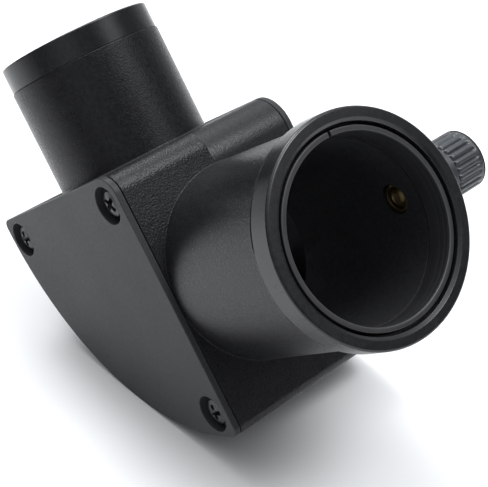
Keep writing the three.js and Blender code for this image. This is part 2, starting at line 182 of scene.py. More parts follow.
# Thumbscrew.
insert_low, insert_high = span("thumbscrew_insert", OPTICAL)
shank_low, shank_high = span("thumbscrew_shank", OPTICAL)
knob_low, knob_high = span("thumbscrew_knob", OPTICAL)
THUMB_X = (shank_low.x + shank_high.x) / 2
INSERT = {"outer": 2.6, "inner": 2.2, "flange": (insert_high.x - insert_low.x) / 2, "thick": 0.6}
SHANK_RADIUS = (shank_high.x - shank_low.x) / 2
SHANK_TIP = {"flat": 0.9, "corner": 1.2, "corner_rise": 0.1, "taper": 0.8}
M4_THREAD = {"pitch": 0.7, "depth": 0.22, "start": 0.6}
KNOB = {
    "neck": 5.2, "neck_edge": 0.5, "neck_end": 27.2, "radius": 5.65, "end_edge": 0.45, "rim": 1.5,
    "ribs": 24, "rib_width": 0.86, "rib_nose": 0.7, "run_out": 0.8,
}

# Mirror and its holder, along the mirror's own axes.
glass_low, glass_high = span("mirror_glass", MIRROR)
pad_low, pad_high = span("mirror_pad", MIRROR)
holder_low, holder_high = span("mirror_holder", MIRROR)
CLIP = {"hole": 1.2, "screw_at": 22.6, "edge": 0.12}
GLASS_EDGE = 0.3
PAD_EDGE = 0.2
HOLDER_EDGE = 0.4

# What the housing holds the mirror holder by: shelves under its ends, and stops in front of them
# that leave room for the clips between them.
SEAT = {
    "half_length": 40.0, "shelf_start": 20.5, "shelf_depth": 12.6,
    "stop_start": 22.4, "stop_depth": 2.0, "clip_room": 7.0,
}


# ---------------------------------------------------------------- outlines

def arc(centre_x, centre_z, radius, start, end, steps):
    """Points of an arc, both ends included, with angles from X towards Z."""
    angles = [start + (end - start) * k / steps for k in range(steps + 1)]
    return [(centre_x + radius * math.cos(a), centre_z + radius * math.sin(a)) for a in angles]


def fan_outline(inset, ridge_radius):
    """The body's outline, drawn a distance inside itself: two flat faces and a curved back."""
    face = FACE - inset
    back = BACK_RADIUS - inset
    ridge = max(ridge_radius - inset, LEAST_RADIUS)
    tip = max(TIP_RADIUS - inset, LEAST_RADIUS)
    tip_across = face - tip
    tip_along = BACK_CENTRE - math.sqrt((back - tip) ** 2 - (tip_across - BACK_CENTRE) ** 2)
    tip_angle = math.atan2(tip_along - BACK_CENTRE, tip_across - BACK_CENTRE)
    back_end = 2 * math.pi + tip_angle
    return [
        *arc(tip_across, tip_along, tip, tip_angle, 0, 10),
        *arc(face - ridge, face - ridge, ridge, 0, QUARTER, 24),
        *arc(tip_along, tip_across, tip, QUARTER, QUARTER - tip_angle, 10),
        *arc(BACK_CENTRE, BACK_CENTRE, back, QUARTER - tip_angle, back_end, 96)[1:-1],
    ]


def soften(corners, steps=5):
    """A closed outline of (a, b) points, from corners (a, b) or (a, b, radius of the rounding)."""
    outline = []
    for i, corner in enumerate(corners):
        point = Vector(corner[:2])
        radius = corner[2] if len(corner) > 2 else 0.0
        if radius == 0.0:
            outline.append(tuple(point))
            continue
        before = Vector(corners[i - 1][:2]) - point
        after = Vector(corners[(i + 1) % len(corners)][:2]) - point
        half_angle = before.angle(after) / 2
        longest = 0.49 * min(before.length, after.length)  # so that two roundings don't meet
        reach = min(radius / math.tan(half_angle), longest)
        radius = reach * math.tan(half_angle)
        before.normalize()
        after.normalize()
        centre = point + (before + after).normalized() * radius / math.sin(half_angle)
        first = point + before * reach - centre
        last = point + after * reach - centre
        for k in range(steps + 1):
            outline.append(tuple(centre + first.lerp(last, k / steps).normalized() * radius))
    return outline


def quarter_round(centre_a, centre_b, radius, toward_a, toward_b, steps=5):
    """Points of a quarter circle that starts off its centre along a and ends off it along b."""
    points = []
    for k in range(steps + 1):
        angle = QUARTER * k / steps
        points.append((
            centre_a + toward_a * radius * math.cos(angle),
            centre_b + toward_b * radius * math.sin(angle),
        ))
    return points


# ---------------------------------------------------------------- meshes

def loft(rings):
    """A closed solid through rings of the same number of points, capped at both ends."""
    mesh = bmesh.new()
    rows = [[mesh.verts.new(point) for point in ring] for ring in rings]
    count = len(rows[0])
    for low, high in zip(rows, rows[1:]):
        for k in range(count):
            mesh.faces.new((low[k], low[(k + 1) % count], high[(k + 1) % count], high[k]))
    mesh.faces.new(reversed(rows[0]))
    mesh.faces.new(rows[-1])
    return mesh


def lathe(outline, segments, axis="Y", ripple=None):
    """A solid of revolution from a closed outline of (radius, height) points.

    ripple(radius, height, turn) may move a point's radius, with turn from 0 to 1 round the axis.
    """
    place = {
        "X": lambda a, b, height: (height, a, b),
        "Y": lambda a, b, height: (b, height, a),
        "Z": lambda a, b, height: (a, b, height),
    }[axis]
    mesh = bmesh.new()
    rows = []
    for radius, height in outline:
        if radius < TINY:
            rows.append([mesh.verts.new(place(0, 0, height))])
            continue
        row = []
        for k in range(segments):
            turn = k / segments
            r = ripple(radius, height, turn) if ripple else radius
            angle = 2 * math.pi * turn
            row.append(mesh.verts.new(place(r * math.cos(angle), r * math.sin(angle), height)))
        rows.append(row)
    for i, low in enumerate(rows):
        high = rows[(i + 1) % len(rows)]
        if len(low) == 1 and len(high) == 1:
            continue
        for k in range(segments):
            corners = [
                low[k % len(low)], low[(k + 1) % len(low)],
                high[(k + 1) % len(high)], high[k % len(high)],
            ]
            mesh.faces.new(list(dict.fromkeys(corners)))
    return mesh


def block(low, high, rounding=0.0, steps=3):
    """A box between two corners, with its edges rounded."""
    mesh = bmesh.new()
    bmesh.ops.create_cube(mesh, size=1)
    size = Vector(high) - Vector(low)
    middle = (Vector(high) + Vector(low)) / 2
    mesh.transform(Matrix.Translation(middle) @ Matrix.Diagonal((*size, 1)))
    if rounding:
        bmesh.ops.bevel(
            mesh, geom=mesh.edges[:] + mesh.verts[:], offset=rounding, segments=steps,
            profile=0.5, affect="EDGES", clamp_overlap=True,
        )
    return mesh


def rod(radius, bottom, top, axis="Y", segments=ROUND["hole"]):
    return lathe([(0, bottom), (radius, bottom), (radius, top), (0, top)], segments, axis)


def solid(mesh, moved=None):
    """A Blender object, still in millimetres, from a bmesh."""
    if moved is not None:
        mesh.transform(moved)
    bmesh.ops.recalc_face_normals(mesh, faces=mesh.faces)
    data = bpy.data.meshes.new("solid")
    mesh.to_mesh(data)
    mesh.free()
    obj = bpy.data.objects.new("solid", data)
    bpy.context.scene.collection.objects.link(obj)
    return obj


def combine(base, operation, tools):
    """base after a boolean with each tool. The tools are used up."""
    for tool in tools:
        modifier = base.modifiers.new("combine", "BOOLEAN")
        modifier.operation = operation
        modifier.solver = "MANIFOLD"
        modifier.object = tool
    graph = bpy.context.evaluated_depsgraph_get()
    data = bpy.data.meshes.new_from_object(base.evaluated_get(graph))
    base.modifiers.clear()
    base.data = data
    for tool in tools:
        bpy.data.objects.remove(tool)
    return base


def thread_ripple(pitch, depth, low, high, cut=True):
    """A helical V thread between two heights, with flat crests, that fades out at both ends."""
    sign = -1 if cut else 1

    def ripple(radius, height, turn):
        fade = min(1.0, max(0.0, min(height - low, high - height) / pitch))
        wave = abs(((height / pitch - turn) % 1.0) * 2 - 1)
        return radius + sign * depth * fade * min(1.0, 1.25 * wave)

    return ripple


def heights(low, high, step):
    """Heights from low to high, about a step apart."""
    count = max(1, round((high - low) / step))
    return [low + (high - low) * k / count for k in range(count + 1)]


# ---------------------------------------------------------------- housing

def edge_levels(end, radius, steps=4):
    """(distance out, inset) pairs that round the rim of a body's flat end."""
    pairs = []
    for k in range(steps + 1):
        angle = QUARTER * k / steps
        pairs.append((end - radius * (1 - math.sin(angle)), radius * (1 - math.cos(angle))))
    return pairs


def ring_at(y, inset, ridge_radius):
    return [(x, y, z) for x, z in fan_outline(inset, ridge_radius)]


def body_block():
    """The body's outside: a tight ridge on the near half, and a step to a fuller one on the far half.

    The step's edge is rounded: there the tight ridge's radius grows by as much as lowers its top by
    the drop that the rounding needs.
    """
    drop_to_radius = 1 / (math.sqrt(2) - 1)
    rims = edge_levels(HOUSING_HALF_WIDTH, SEAM_ROUND)
    rings = [ring_at(-y, inset, NEAR_RIDGE_RADIUS) for y, inset in reversed(rims)]
    for y, drop in edge_levels(RIDGE_STEP_Y, RIDGE_STEP_ROUND):
        rings.append(ring_at(y, 0, NEAR_RIDGE_RADIUS + drop * drop_to_radius))
    rings.append(ring_at(RIDGE_STEP_Y + RIDGE_STEP_RUN, 0, FAR_RIDGE_RADIUS))
    rings += [ring_at(y, inset, FAR_RIDGE_RADIUS) for y, inset in rims]
    return solid(loft(rings))


def fan_prism(inset, ridge_radius, low, high):
    return solid(loft([ring_at(low, inset, ridge_radius), ring_at(high, inset, ridge_radius)]))


def tube_outline(radius, stub, stub_start, fillet, rim, spigot, spigot_end):
    """Section of a tube that stands on a flat face, with a fillet at its foot and a spigot.

    The rim is the outline from the tube's wall to the shoulder that the spigot stands on.
    """
    return [
        (0, stub_start), (stub, stub_start), (stub, FACE - GAP), (radius + fillet, FACE - GAP),
        *[(r, h) for h, r in quarter_round(FACE + fillet, radius + fillet, fillet, -1, -1, 8)],
        *soften([(radius, rim[0][1] - 1), *rim, (spigot, rim[-1][1])])[1:],
        (spigot, spigot_end), (0, spigot_end),
    ]


def mirror_seats():
    """The shelves and stops that hold the ends of the mirror holder."""
    half_width = REBATE_FLOOR
    shelf_top = holder_low.z - GAP
    seats = []
    for end in (-1, 1):
        near, far = sorted((end * SEAT["shelf_start"], end * SEAT["half_length"]))
        shelf_bottom = shelf_top - SEAT["shelf_depth"]
        seats.append(block((near, -half_width, shelf_bottom), (far, half_width, shelf_top)))
        near, far = sorted((end * SEAT["stop_start"], end * SEAT["half_length"]))
        for side in (-1, 1):
            inner, outer = sorted((side * SEAT["clip_room"], side * half_width))
            seats.append(block((near, inner, GAP), (far, outer, GAP + SEAT["stop_depth"])))
    return [solid(seat, MIRROR_TURN) for seat in seats]


def fittings():
    """What stands inside the body: a post for each pair of plate screws, and the mirror's seats."""
    inside = fan_prism(WALL / 2, FAR_RIDGE_RADIUS, -REBATE_FLOOR, REBATE_FLOOR)
    posts = [
        solid(rod(POST_RADIUS, -REBATE_FLOOR, REBATE_FLOOR), Matrix.Translation((x, 0, z)))
        for x, z in SCREW_PLACES.values()
    ]
    joined = combine(posts[0], "UNION", posts[1:] + mirror_seats())
    return combine(joined, "INTERSECT", [inside])


def eyepiece_tube():
    """The tube that ends in a raised lip, cut to the body's width where it meets the body."""
    shoulder = COLLAR_BACK - GAP
    lip_start = shoulder - TUBE_LIP["length"]
    rim = [
        (TUBE_RADIUS, lip_start - TUBE_LIP["slope"], TUBE_LIP["root"]),
        (TUBE_LIP["outer"], lip_start, TUBE_LIP["crest"]),
        (TUBE_LIP["outer"], shoulder, TUBE_LIP["shoulder"]),
    ]
    spigot_end = TUBE_END - COLLAR["lip"] - GAP
    outline = tube_outline(TUBE_RADIUS, TUBE_STUB, TUBE_STUB, TUBE_FILLET, rim, TUBE_SPIGOT, spigot_end)
    tube = solid(lathe(outline, ROUND["tube"], "X"))
    far = 4 * FACE
    past_face = solid(block((FACE + GAP, -TUBE_RADIUS, -far), (far, TUBE_RADIUS, far)))
    at_face = solid(block((0, -HOUSING_HALF_WIDTH, -far), (FACE + 2 * GAP, HOUSING_HALF_WIDTH, far)))
    return combine(tube, "INTERSECT", [combine(past_face, "UNION", [at_face])])


def nosepiece():
    rim = [(NOSE_RADIUS, RING_BACK - RING["seam"], NOSE_EDGE)]
    spigot_end = NOSE_END - RING["lip"] - GAP
    outline = tube_outline(NOSE_RADIUS, NOSE_RADIUS, NOSE_STUB, NOSE_FILLET, rim, NOSE_SPIGOT, spigot_end)
    return solid(lathe(outline, ROUND["nosepiece"], "Z"))


def threaded_bore():
    """What is cut from the nosepiece: its bore, with the thread for filters at its end."""
    thread_low = NOSE_END - FILTER_THREAD["length"]
    thread = thread_ripple(FILTER_THREAD["pitch"], FILTER_THREAD["depth"], thread_low,
                           NOSE_END + OVERCUT, cut=False)
    levels = [NOSE_STUB - OVERCUT, thread_low, *heights(thread_low, NOSE_END, THREAD_STEP)[1:]]
    outline = [(0, levels[0]), *[(NOSE_BORE, level) for level in levels], (0, NOSE_END)]
    return solid(lathe(outline, ROUND["nosepiece"], "Z", thread))


def housing():
    cavity = fan_prism(WALL, FAR_RIDGE_RADIUS, -HALF_WIDTH, HALF_WIDTH)
    shell = combine(body_block(), "DIFFERENCE", [cavity])
    whole = combine(shell, "UNION", [fittings(), eyepiece_tube(), nosepiece()])
    insert_hole = rod(INSERT["outer"] + GAP, 0, TUBE_RADIUS + OVERCUT)
    cuts = [
        solid(rod(TUBE_BORE, TUBE_STUB - OVERCUT, TUBE_END, "X", ROUND["tube"])),
        solid(rod(MOUTH_RECESS, split_low.x - GAP, TUBE_END, "X", ROUND["tube"])),
        threaded_bore(),
        solid(insert_hole, Matrix.Translation((THUMB_X, 0, 0))),
        fan_prism(PLUG_INSET - GAP, NEAR_RIDGE_RADIUS, -HALF_WIDTH, -REBATE_FLOOR),
        fan_prism(PLUG_INSET - GAP, FAR_RIDGE_RADIUS, REBATE_FLOOR, HALF_WIDTH),
    ]
    cuts += [
        solid(rod(SCREW["shank"] + GAP, -HALF_WIDTH, HALF_WIDTH), Matrix.Translation((x, 0, z)))
        for x, z in SCREW_PLACES.values()
    ]
    return combine(whole, "DIFFERENCE", cuts)


# ---------------------------------------------------------------- side plates and screws

def facing(side):
    """Turns what points along Y to the outward direction of a side, -1 near and 1 far."""
    return Matrix.Rotation(0 if side > 0 else math.pi, 4, "X")


def side_plate(side, ridge_radius):
    """A flange with a plug behind it and three recesses for screws."""
    rings = [
        (PLUG_END, PLUG_INSET + PLUG_CHAMFER), (PLUG_END + PLUG_CHAMFER, PLUG_INSET),
        (SEAM, PLUG_INSET), (SEAM, SEAM_ROUND), (SEAM + SEAM_ROUND, 0.0),
        *edge_levels(HALF_WIDTH, PLATE_ROUND, 5),
    ]
    plate = solid(loft([ring_at(side * out, inset, ridge_radius) for out, inset in rings]))
    floor_at = HALF_WIDTH - RECESS_DEPTH
    above = HALF_WIDTH + OVERCUT
    rim = quarter_round(RECESS_RADIUS + RECESS_ROUND, HALF_WIDTH - RECESS_ROUND, RECESS_ROUND, -1, 1)
    recess = [(0, floor_at), (RECESS_RADIUS, floor_at), *rim, (rim[-1][0], above), (0, above)]
    cuts = []
    for x, z in SCREW_PLACES.values():
        moved = Matrix.Translation((x, 0, z)) @ facing(side)
        cuts.append(solid(lathe(recess, ROUND["recess"]), moved))
        cuts.append(solid(rod(SCREW["shank"] + 2 * GAP, 0, HALF_WIDTH), moved))
    return combine(plate, "DIFFERENCE", cuts)


def cross_head_screw(size):
    """A pan-head screw along Y with its head above zero, a thread and a tapered cross recess."""
    head, height, shank, length = (size[k] for k in ("head", "height", "shank", "length"))
    thread_start = -length + 1.5 * shank
    thread = thread_ripple(size["pitch"], size["thread"], -length, -THREAD_STOP)

    def ripple(radius, at, turn):
        return thread(radius, at, turn) if at < 0 else radius

    point = [(0, -length), (0.3 * shank, -length), (0.75 * shank, -length + 0.8 * shank)]
    stem = [(shank, at) for at in heights(thread_start, 0, size["pitch"] / 6)]
    crown = soften([
        (0, 0), (head, 0, 0.06 * head), (head, 0.66 * height, 0.4 * height),
        (0.5 * head, height, 0.5 * head), (0, height),
    ], 6)[1:]
    body = solid(lathe(point + stem + crown, ROUND["screw"], "Y", ripple))
    cuts = []
    for turn in (0, QUARTER):
        rings = []
        for y, (reach, half) in ((0.1 * height, CROSS_FLOOR), (height + 0.1, CROSS_TOP)):
            a, b = reach * head, half * head
            rings.append([(-a, y, -b), (a, y, -b), (a, y, b), (-a, y, b)])
        cuts.append(solid(loft(rings), Matrix.Rotation(turn, 4, "Y")))
    return combine(body, "DIFFERENCE", cuts)


def plate_screw(side, x, z):
    screw = cross_head_screw(SCREW)
    seat = HALF_WIDTH - RECESS_DEPTH + GAP
    spin = Matrix.Rotation(SCREW_SPIN[0] * x + SCREW_SPIN[1] * z, 4, "Y")
    screw.data.transform(Matrix.Translation((x, side * seat, z)) @ facing(side) @ spin)
    return screw


# ---------------------------------------------------------------- collar and rings

def eyepiece_collar():
    inner, lip, chamfer_edge = COLLAR["inner"], COLLAR["lip"], COLLAR["chamfer_edge"]
    outline = soften([
        (TUBE_SPIGOT + GAP, COLLAR_BACK),
        (COLLAR_RADIUS, COLLAR_BACK, COLLAR["back_edge"]),
        (COLLAR_RADIUS, TUBE_END, COLLAR["front_edge"]),
        (inner + COLLAR["chamfer"], TUBE_END, chamfer_edge),
        (inner, TUBE_END - COLLAR["chamfer_depth"], chamfer_edge),
        (inner, TUBE_END - lip, COLLAR["lip_edge"]),
        (TUBE_SPIGOT + GAP, TUBE_END - lip),
    ], 6)
    return solid(lathe(outline, ROUND["rim"], "X"))


def nose_end_ring():
    """A ring that goes on with the nosepiece's thread."""
    thread, lip, chamfer = RING["thread"], RING["lip"], RING["chamfer"]
    helix = thread_ripple(FILTER_THREAD["pitch"], FILTER_THREAD["depth"], NOSE_END - lip, NOSE_END)

    def ripple(radius, height, turn):
        return helix(radius, height, turn) if radius < thread + TINY else radius

    front = soften([
        (NOSE_SPIGOT + GAP, RING_BACK),
        (RING_RADIUS, RING_BACK, RING["small_edge"]),
        (RING_RADIUS, NOSE_END, RING["edge"]),
        (thread + chamfer, NOSE_END, RING["small_edge"]),
        (thread, NOSE_END - chamfer),
    ])
    levels = heights(NOSE_END - lip, NOSE_END - chamfer, THREAD_STEP)[:-1]
    wall = [(thread, level) for level in reversed(levels)]
    outline = [*front, *wall, (NOSE_SPIGOT + GAP, NOSE_END - lip)]
    return solid(lathe(outline, ROUND["nosepiece"], "Z", ripple))


def split_ring():
    """The liner of the socket's mouth, cut through at one place, with its edges broken."""
    inner, outer, half_gap = SPLIT["inner"], split_high.y, SPLIT["gap"] / 2
    outline = soften([
        (inner, split_low.x, SPLIT["back_edge"]), (outer, split_low.x, SPLIT["back_edge"]),
        (outer, split_high.x, SPLIT["outer_edge"]), (inner, split_high.x, SPLIT["mouth_edge"]),
    ], 4)
    slit = block((split_low.x - OVERCUT, inner - OVERCUT, -half_gap),
                 (split_high.x + OVERCUT, outer + OVERCUT, half_gap))
    cut = solid(slit, Matrix.Rotation(math.radians(SPLIT["turn_deg"]), 4, "X"))
    return combine(solid(lathe(outline, ROUND["rim"], "X")), "DIFFERENCE", [cut])


# ---------------------------------------------------------------- thumbscrew

def thumbscrew_insert():
    top = insert_high.y - INSERT["thick"]
    outline = soften([
        (INSERT["inner"], insert_low.y, 0.1), (INSERT["outer"], insert_low.y, 0.15),
        (INSERT["outer"], top), (INSERT["flange"], top, 0.1),
        (INSERT["flange"], insert_high.y, 0.2), (INSERT["inner"], insert_high.y, 0.15),
    ])
    return solid(lathe(outline, ROUND["thumbscrew"]), Matrix.Translation((THUMB_X, 0, 0)))


def thumbscrew_shank():
    low, high = shank_low.y, shank_high.y
    thread = thread_ripple(M4_THREAD["pitch"], M4_THREAD["depth"], low + M4_THREAD["start"], high + OVERCUT)
    tip = [(0, low), (SHANK_TIP["flat"], low), (SHANK_TIP["corner"], low + SHANK_TIP["corner_rise"])]
    stem = [(SHANK_RADIUS, at) for at in heights(low + SHANK_TIP["taper"], high, THREAD_STEP)]
    rod_mesh = lathe([*tip, *stem, (0, high)], ROUND["thumbscrew"], "Y", thread)
    return solid(rod_mesh, Matrix.Translation((THUMB_X, 0, 0)))


def thumbscrew_knob():
    """A plain neck and a grip of ribs, round-ended towards the neck, that run out into a plain rim."""
    start, end = knob_low.y, knob_high.y
    hole, hole_end = SHANK_RADIUS + GAP, shank_high.y + GAP
    neck, rise, end_edge = KNOB["neck"], KNOB["radius"] - KNOB["neck"], KNOB["end_edge"]
    ribs_start, rim_start = KNOB["neck_end"], end - KNOB["rim"]
    noses_end = ribs_start + 2 * KNOB["rib_nose"]

    def ripple(radius, height, turn):
        if not (neck - TINY < radius < neck + TINY and height > ribs_start):
            return radius
        nose = min(1.0, (height - ribs_start) / KNOB["rib_nose"])
        across = abs(((turn * KNOB["ribs"]) % 1.0) * 2 - 1)
        rib = math.sqrt(max(0.0, 1 - (across / KNOB["rib_width"]) ** 2))
        crown = rib * math.sqrt(1 - (1 - nose) ** 2)
        merge = min(1.0, max(0.0, (height - rim_start) / KNOB["run_out"]))
        return radius + rise * (crown + (1 - crown) * merge)

    levels = heights(ribs_start, noses_end, 0.08) + heights(noses_end, end - end_edge, 0.2)[1:]
    outline = [
        (0, hole_end), (hole, hole_end), (hole, start),
        *soften([(hole, start), (neck, start, KNOB["neck_edge"]), (neck, ribs_start)])[1:-1],
        *[(neck, level) for level in levels],
        *quarter_round(KNOB["radius"] - end_edge, end - end_edge, end_edge, 1, 1)[1:],
        (0.6 * KNOB["radius"], end), (0, end),
    ]
    knob = lathe(outline, 12 * KNOB["ribs"], "Y", ripple)
    return solid(knob, Matrix.Translation((THUMB_X, 0, 0)))


# ---------------------------------------------------------------- mirror and its holder

def mirror_holder():
    tray = solid(block(holder_low, holder_high, HOLDER_EDGE))
    room = Vector((GAP, GAP, 0))
    floor_corner = Vector((glass_low.x, glass_low.y, pad_low.z - GAP)) - room
    top_corner = Vector((glass_high.x, glass_high.y, OVERCUT)) + room
    pocket = solid(block(floor_corner, top_corner, GLASS_EDGE))
    holes = [
        solid(rod(CLIP["hole"], -CLIP_SCREW["length"] - GAP, OVERCUT, "Z", ROUND["clip_hole"]),
              Matrix.Translation((end * CLIP["screw_at"], 0, 0)))
        for end in (-1, 1)
    ]
    return combine(tray, "DIFFERENCE", [pocket, *holes])


def mirror_clip(node):
    low, high = span(node, MIRROR)
    screw_at = math.copysign(CLIP["screw_at"], low.x)
    leaf = solid(block(low, high, CLIP["edge"]))
    hole = rod(CLIP["hole"], -OVERCUT, high.z + OVERCUT, "Z", ROUND["clip_hole"])
    return combine(leaf, "DIFFERENCE", [solid(hole, Matrix.Translation((screw_at, 0, 0)))])


def clip_screw(node):
    low, high = span(node, MIRROR)
    screw = cross_head_screw(CLIP_SCREW)
    seat = Vector(((low.x + high.x) / 2, 0, high.z - CLIP_SCREW["height"]))
    screw.data.transform(Matrix.Translation(seat) @ Matrix.Rotation(QUARTER, 4, "X"))
    return screw


# ---------------------------------------------------------------- materials

class Surface:
    """A Principled material, with short ways to wire the nodes that give it detail."""

    def __init__(self, name, colour, roughness, metallic=0.0, specular=0.5):
        self.material = bpy.data.materials.new(name)
        self.material.use_nodes = True
        self.tree = self.material.node_tree
        self.shader = self.tree.nodes["Principled BSDF"]
        self.shader.inputs["Base Color"].default_value = (*colour, 1)
        self.shader.inputs["Roughness"].default_value = roughness
        self.shader.inputs["Metallic"].default_value = metallic
        self.shader.inputs["Specular IOR Level"].default_value = specular
        self.place = self.optical_place()
        self.normal = None

    def node(self, kind, **settings):
        made = self.tree.nodes.new(kind)
        for key, value in settings.items():
            setattr(made, key, value)
        return made

    def optical_place(self):
        """Coordinates along the optical axes, in metres, for pieces kept in the row frame."""
        to_optical = OPTICAL.inverted()
        mapping = self.node("ShaderNodeMapping", vector_type="POINT")
        self.feed(mapping.inputs["Vector"], self.node("ShaderNodeTexCoord").outputs["Object"])
        mapping.inputs["Location"].default_value = to_optical.to_translation()
        mapping.inputs["Rotation"].default_value = to_optical.to_euler()
        return mapping.outputs[0]

    def feed(self, socket, value):
        """Puts a number, a colour or another node's output into a socket."""
        if isinstance(value, bpy.types.NodeSocket):
            self.tree.links.new(value, socket)
        else:
            socket.default_value = value

    def noise(self, grain, detail=2.0, where=None):
        """Noise from 0 to 1 whose lumps are about a grain across, in millimetres."""
        made = self.node("ShaderNodeTexNoise")
        self.feed(made.inputs["Vector"], where or self.place)
        made.inputs["Scale"].default_value = 1 / (grain * MM)
        made.inputs["Detail"].default_value = detail
        return made.outputs["Fac"]

    def around(self, axis):
        """Coordinates that follow a turned surface: along the axis and out from it, not round it."""
        parts = self.node("ShaderNodeSeparateXYZ")
        self.feed(parts.inputs[0], self.place)
        others = [parts.outputs[k] for k in "XYZ" if k != axis]
        squares = [self.maths("POWER", other, 2.0) for other in others]
        joined = self.node("ShaderNodeCombineXYZ")
        self.feed(joined.inputs[0], parts.outputs[axis])
        self.feed(joined.inputs[1], self.maths("SQRT", self.maths("ADD", *squares)))
        return joined.outputs[0]

    def maths(self, operation, first, second=0.0):
        made = self.node("ShaderNodeMath", operation=operation)
        self.feed(made.inputs[0], first)
        self.feed(made.inputs[1], second)
        return made.outputs[0]

    def remap(self, value, low, high, to_low, to_high):
        made = self.node("ShaderNodeMapRange")
        for socket, given in zip(made.inputs, (value, low, high, to_low, to_high)):
            self.feed(socket, given)
        return made.outputs[0]

    def blend(self, factor, first, second):
        """A colour between two colours."""
        made = self.node("ShaderNodeMix", data_type="RGBA")
        self.feed(made.inputs["Factor"], factor)
        colours = [socket for socket in made.inputs if socket.type == "RGBA"]
        for socket, colour in zip(colours, (first, second)):
            self.feed(socket, colour if isinstance(colour, bpy.types.NodeSocket) else (*colour, 1))
        return next(socket for socket in made.outputs if socket.type == "RGBA")

    def mixed(self, first, second, share):
        """A share of the first value and the rest of the second."""
        return self.maths("ADD", self.maths("MULTIPLY", first, share),
                          self.maths("MULTIPLY", second, 1.0 - share))

    def edges(self, width):
        """1 at sharp edges, falling to 0 a width away from them, in millimetres.

        The cosines say how far the normal of the rounded surface leans from the real one.
        """
        bevel = self.node("ShaderNodeBevel", samples=4)
        bevel.inputs["Radius"].default_value = width * MM
        here = self.node("ShaderNodeNewGeometry")
        dot = self.node("ShaderNodeVectorMath", operation="DOT_PRODUCT")
        self.feed(dot.inputs[0], bevel.outputs[0])
        self.feed(dot.inputs[1], here.outputs["Normal"])
        return self.remap(dot.outputs["Value"], 0.995, 0.9, 0.0, 1.0)

    def bump(self, height, depth):
        """Roughens the surface, on top of any bump so far, by a height from 0 to 1 over a depth in mm."""
        made = self.node("ShaderNodeBump")
        made.inputs["Strength"].default_value = 1.0
        made.inputs["Distance"].default_value = depth * MM
        self.feed(made.inputs["Height"], height)
        if self.normal is not None:
            self.feed(made.inputs["Normal"], self.normal)
        self.normal = made.outputs[0]
        self.feed(self.shader.inputs["Normal"], self.normal)

    def colour(self, value):
        self.feed(self.shader.inputs["Base Color"], value)

    def rough(self, value):
        self.feed(self.shader.inputs["Roughness"], value)


def grained(name, dark, light, grain, depth, rough, wear_and_glint=0.4, specular=0.5):
    """Moulded or painted black with a fine grain, cloudy gloss and slightly lightened edges.

    The grain and its depth are in millimetres, rough is the lowest and the highest roughness, and
    wear_and_glint is how bright the lightened edges are, from 0 to 1.
    """
    surface = Surface(name, dark, rough[0], specular=specular)
    fine = surface.noise(grain, 3.0)
    coarse = surface.noise(grain * 3.2, 2.0)
    cloud = surface.noise(14.0, 3.0)
    tone = surface.remap(fine, 0.35, 0.68, 0.0, 1.0)
    patchy = surface.remap(coarse, 0.4, 0.6, 0.25 * wear_and_glint, wear_and_glint)
    # Lightened edges: rubbing, and on the screws painted glints as well.
    edge_wear_and_glint = surface.maths("MULTIPLY", surface.edges(0.5), patchy)
    base = surface.blend(tone, dark, light)
    surface.colour(surface.blend(edge_wear_and_glint, base, tuple(2.2 * c for c in light)))
    surface.rough(surface.remap(surface.mixed(coarse, cloud, 0.5), 0.35, 0.65, *rough))
    surface.bump(surface.maths("ADD", fine, surface.maths("MULTIPLY", coarse, 1.4)), depth)
    return surface


def turned(name, dark, light, axis, rough, line, depth, metallic=0.0):
    """A surface with fine tool lines, a line apart in millimetres, turned round an axis."""
    surface = Surface(name, dark, rough[0], metallic)
    lines = surface.noise(line, 1.0, surface.around(axis))
    cloud = surface.noise(6.0, 3.0)
    speck = surface.noise(0.5, 2.0)
    tone = surface.remap(lines, 0.35, 0.65, 0.0, 1.0)
    patchy = surface.remap(speck, 0.45, 0.62, 0.1, 0.7)
    # Speckled lightened edges: rubbing, and painted highlights on machining burrs.
    edge_wear_and_glint = surface.maths("MULTIPLY", surface.edges(0.3), patchy)
    base = surface.blend(tone, dark, light)
    surface.colour(surface.blend(edge_wear_and_glint, base, tuple(min(1.0, 2.0 * c) for c in light)))
    surface.rough(surface.remap(surface.mixed(cloud, speck, 0.6), 0.35, 0.65, *rough))
    surface.bump(lines, depth)
    return surface


def housing_black():
    """A moulded skin with a coarse grain, full on the near half of the body and half as deep elsewhere."""
    rough = (0.24, 0.42)
    surface = grained("housing_black", dark=(0.006, 0.0063, 0.007), light=(0.012, 0.0125, 0.014),
                      grain=0.9, depth=0.012, rough=rough, wear_and_glint=0.1, specular=0.3)
    parts = surface.node("ShaderNodeSeparateXYZ")
    surface.feed(parts.inputs[0], surface.place)
    outermost = surface.maths("MAXIMUM", parts.outputs["X"], parts.outputs["Z"])
    on_body = surface.maths("LESS_THAN", outermost, (FACE + 0.1) * MM)
    near = surface.maths("LESS_THAN", parts.outputs["Y"], RIDGE_STEP_Y * MM)
    strength = surface.remap(surface.maths("MULTIPLY", on_body, near), 0.0, 1.0, 0.5, 1.0)
    skin = surface.noise(0.34, 2.0)
    surface.rough(surface.remap(skin, 0.3, 0.7, *rough))
    surface.bump(surface.maths("MULTIPLY", skin, strength), 0.1)
    return surface


def bore_black():
    """Inside faces: the same plastic, flatter, with a base colour lighter than the outer skin's that is
    painted light in the shaded bores.
    """
    return grained("bore_black", dark=(0.018, 0.0185, 0.021), light=(0.03, 0.0305, 0.034),
                   grain=0.5, depth=0.02, rough=(0.6, 0.75), wear_and_glint=0.0, specular=0.25)


def plate_grey():
    # Its base colour, lighter than the housing's black, is partly a painted reflection of the pale floor,
    # so the plate reads grey from every side.
    return grained("plate_grey", dark=(0.031, 0.0323, 0.0338), light=(0.044, 0.0457, 0.0475),
                   grain=0.3, depth=0.008, rough=(0.34, 0.44), wear_and_glint=0.5, specular=0.14)


